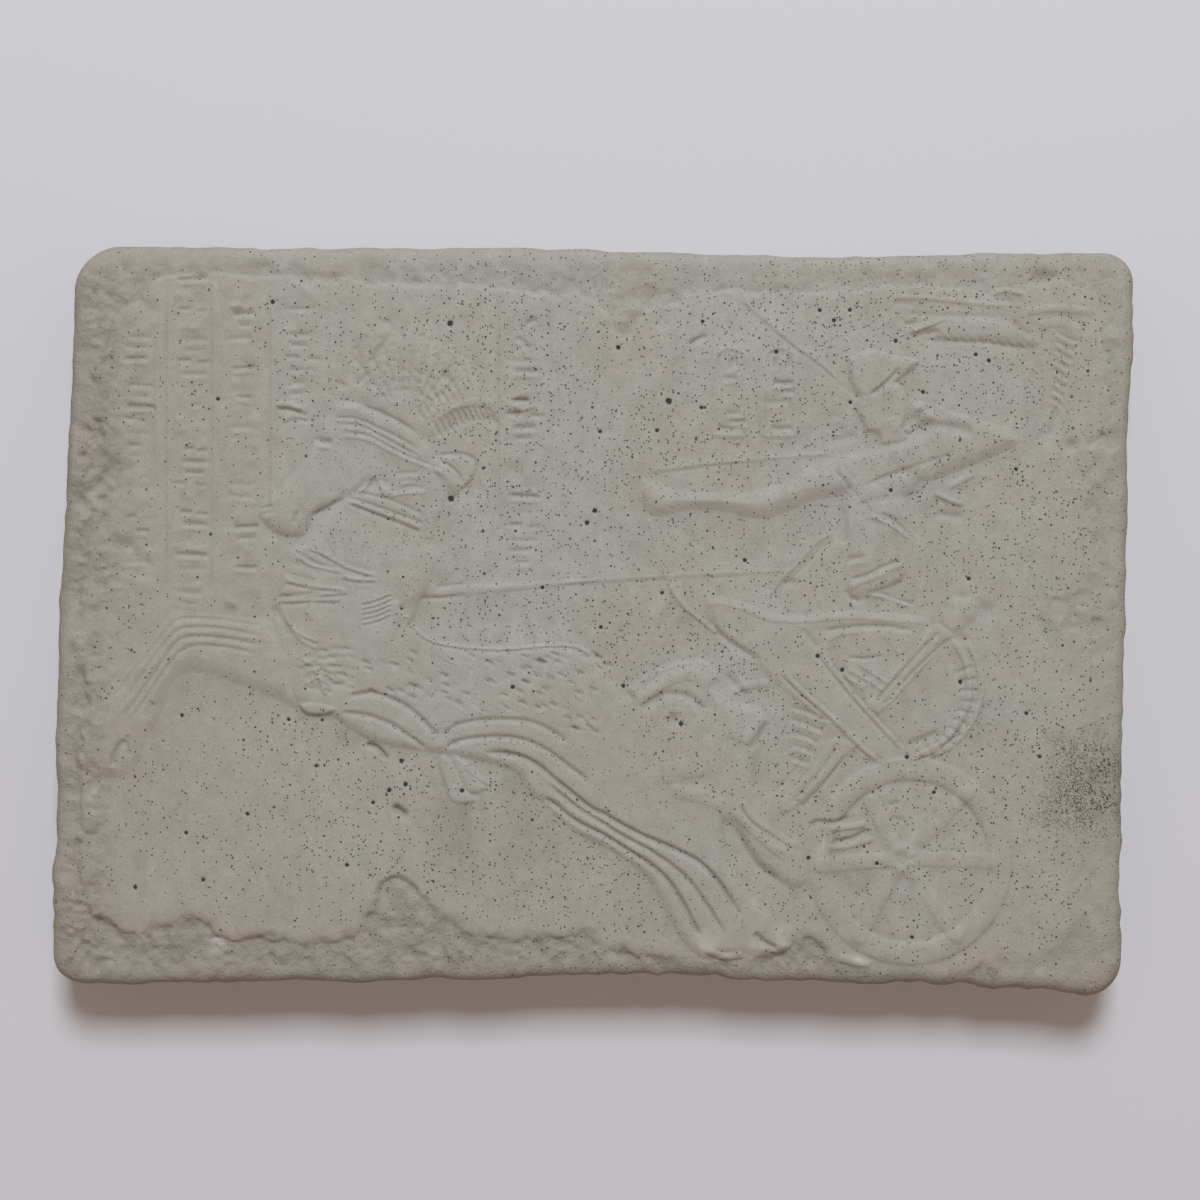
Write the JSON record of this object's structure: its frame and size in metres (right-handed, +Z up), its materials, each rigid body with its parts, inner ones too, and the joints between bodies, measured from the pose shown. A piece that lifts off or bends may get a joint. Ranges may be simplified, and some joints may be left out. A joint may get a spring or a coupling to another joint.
{
  "type": "relief wall plaque",
  "caption": "Small cast concrete wall plaque with a chariot scene in low relief, a broken border and a flat back.",
  "frame": {"origin": "middle of the flat back, where the plaque is fixed to a wall", "axes": "+X across the plaque to the right as seen from its front, +Y into the wall, +Z up; the carved face looks along -Y"},
  "size_m": [0.2998, 0.0193, 0.2076],
  "materials": {
    "cast_concrete": "bare cast concrete, matt, with air-bubble pits and faint warm stains"
  },
  "bodies": {
    "root": {"relief_plaque": "cast_concrete"}
  },
  "joints": []
}
